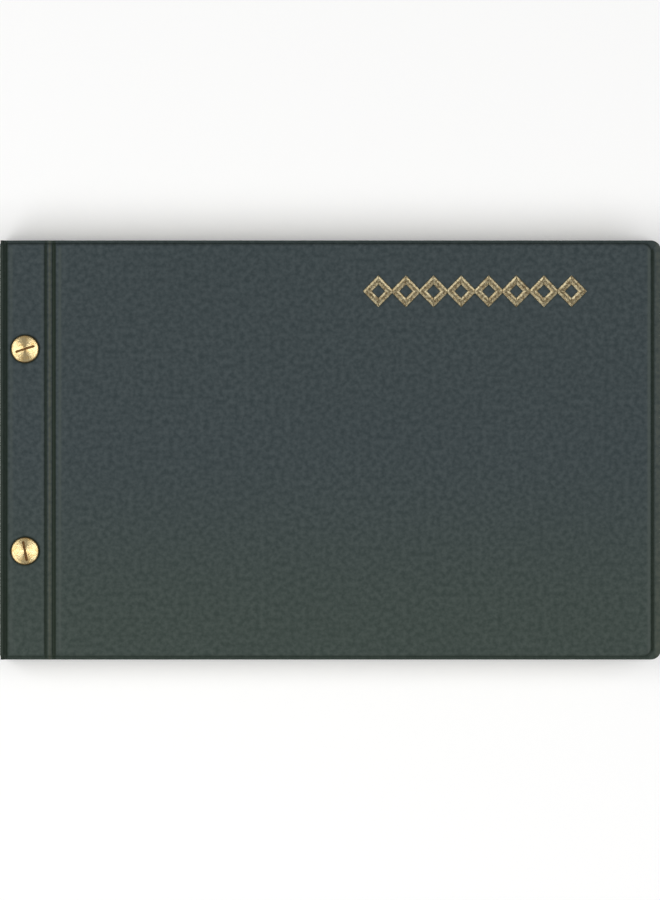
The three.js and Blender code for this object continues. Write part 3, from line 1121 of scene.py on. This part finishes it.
def foil_piece():
    """The chain of lozenges, with a pointed tip joined on at each end."""
    start = FOIL_LOW[0] + (FOIL_OVERLAP + FOIL_STEP) / 2
    body = lines((0, HOLE_X, 0.28 * MM), (HOLE_X, FOIL_STEP / 2, 0.2 * MM))
    obj = new_piece("ornament_foil", *foil_strokes(body, (1, -1), start), foil)
    run_nodes(obj, chain_tree(), links=LINKS, step=float(FOIL_STEP), finish=foil)
    tip = lines((FOIL_STEP / 2, LINK_X, 0.12 * MM))
    whole = bmesh.new()
    whole.from_mesh(obj.data)
    for side, centre in ((-1, start), (1, start + (LINKS - 1) * FOIL_STEP)):
        end = new_piece("tip", *foil_strokes(tip, (side,), centre), foil)
        whole.from_mesh(end.data)
        bpy.data.objects.remove(end)
    bmesh.ops.remove_doubles(whole, verts=whole.verts, dist=0.002 * MM)
    bmesh.ops.recalc_face_normals(whole, faces=whole.faces)
    whole.to_mesh(obj.data)
    whole.free()
    smooth(obj, 30)
    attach(obj, "front_cover")
    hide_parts("title_foil")


SHEET_SHARE = 0.8       # how much of its share of the section's height a sheet fills
SHEET_SLIP = 0.12 * MM


def leaf_pieces():
    """Ten sheets to a section, punched for the posts, with a finer grid where the margin ends."""
    tree = stack_tree()
    for number in range(1, SECTIONS + 1):
        node, margin = f"leaves_{number:02d}", f"leaf_margin_{number:02d}"
        bottom, top = low(node)[2], high(node)[2]
        pitch = (top - bottom) / SHEETS
        gauge = SHEET_SHARE * pitch
        bend = low(node)[0]
        xs = lines((LEAF_X0, MARGIN_X - 0.4 * MM, 4 * MM), (MARGIN_X - 0.4 * MM, bend, 0.65 * MM),
                   (bend, LEAF_X1, 40 * MM))
        ys = lines((-LEAF_Y, LEAF_Y, 35 * MM))
        gx, gy = np.meshgrid(xs, ys, indexing="ij")
        flat = np.stack([gx.ravel(), gy.ravel()], 1)
        upper = np.column_stack([flat, np.full(len(flat), bottom + gauge)])
        under = np.column_stack([flat, np.full(len(flat), bottom)])
        obj = new_piece(
            node + "_paper", np.concatenate([upper, under]), sheet_faces(len(xs), len(ys)), paper,
            np.concatenate([flat, flat]),
        )
        punch(obj)
        run_nodes(
            obj, tree, copies=SHEETS, pitch=float(pitch), slip=SHEET_SLIP, seed=number, finish=paper
        )
        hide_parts(node, margin)
        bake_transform(obj)


def dress_boards():
    """The hidden boards keep their own shape and take a real finish."""
    for name, node in frame["nodes"].items():
        if name.endswith("_board"):
            node.data.materials.clear()
            node.data.materials.append(board)


# ---------------------------------------------------------------- studio

SOFTBOX_SIZE = (1.0, 2.2)
SOFTBOX_PLACE = (1.0, -0.35, 1.25)
LEFT_POWER = 19.5
RIGHT_POWER = 15.0
AMBIENT = 0.27
BACKDROP = 0.95
FLOOR_SIZE = 8
FLOOR_DROP = 0.0002         # keeps the floor just clear of the back cover


def softbox(name, side, power):
    """A long soft light beside the book, leaning over it."""
    out, along, up = SOFTBOX_PLACE
    light = bpy.data.lights.new(name, "AREA")
    light.shape = "RECTANGLE"
    light.size, light.size_y = SOFTBOX_SIZE
    light.energy = power
    obj = bpy.data.objects.new(name, light)
    obj.location = (side * out, along, up)
    obj.rotation_euler = (0, side * math.atan2(out, up), 0)
    bpy.context.scene.collection.objects.link(obj)


def studio():
    """A pale floor, two soft lights, and a world that lights gently but looks bright."""
    bpy.ops.mesh.primitive_plane_add(size=FLOOR_SIZE, location=(0, 0, -FLOOR_DROP))
    floor = bpy.context.object
    floor.name = "floor"
    floor.data.materials.append(floor_finish())
    softbox("left_softbox", -1, LEFT_POWER)
    softbox("right_softbox", 1, RIGHT_POWER)

    world = bpy.data.worlds.new("studio")
    world.use_nodes = True
    tree = world.node_tree
    ambient = tree.nodes["Background"]
    ambient.inputs["Color"].default_value = grey(1.0)
    ambient.inputs["Strength"].default_value = AMBIENT
    backdrop = tree.nodes.new("ShaderNodeBackground")
    backdrop.inputs["Color"].default_value = grey(1.0)
    backdrop.inputs["Strength"].default_value = BACKDROP
    path = tree.nodes.new("ShaderNodeLightPath")
    either = tree.nodes.new("ShaderNodeMixShader")
    tree.links.new(path.outputs["Is Camera Ray"], either.inputs[0])
    tree.links.new(ambient.outputs[0], either.inputs[1])
    tree.links.new(backdrop.outputs[0], either.inputs[2])
    tree.links.new(either.outputs[0], tree.nodes["World Output"].inputs["Surface"])
    bpy.context.scene.world = world


def colour_view():
    """Plain colours, so that the pale floor is near white and the brass keeps its yellow."""
    bpy.context.scene.view_settings.view_transform = "Standard"


LENS = 200.0
SENSOR = 36.0
SHOWN = 0.998185            # the share of the cover's width that the frame takes in
TALL = 15 / 11              # the frame's height against its width
CAMERA_SHIFT = 0.16 * MM    # how far the camera stands off the cover's middle, towards the spine


def camera():
    """Straight down on the front cover, through a long lens, filling the frame's width."""
    frame_height = SHOWN * (FORE_X - SPINE_X) * TALL
    distance = frame_height / (SENSOR * MM) * LENS * MM
    data = bpy.data.cameras.new("camera")
    data.lens = LENS
    data.sensor_width = SENSOR
    data.clip_end = 50
    obj = bpy.data.objects.new("camera", data)
    obj.location = ((SPINE_X + FORE_X) / 2 - CAMERA_SHIFT, 0, FRONT_OUTER + distance)
    bpy.context.scene.collection.objects.link(obj)
    bpy.context.scene.camera = obj


camera()
colour_view()
studio()
for side in (1, -1):
    cover_pieces(side)
spine_piece()
spine_lining()
brass_pieces()
foil_piece()
leaf_pieces()
dress_boards()
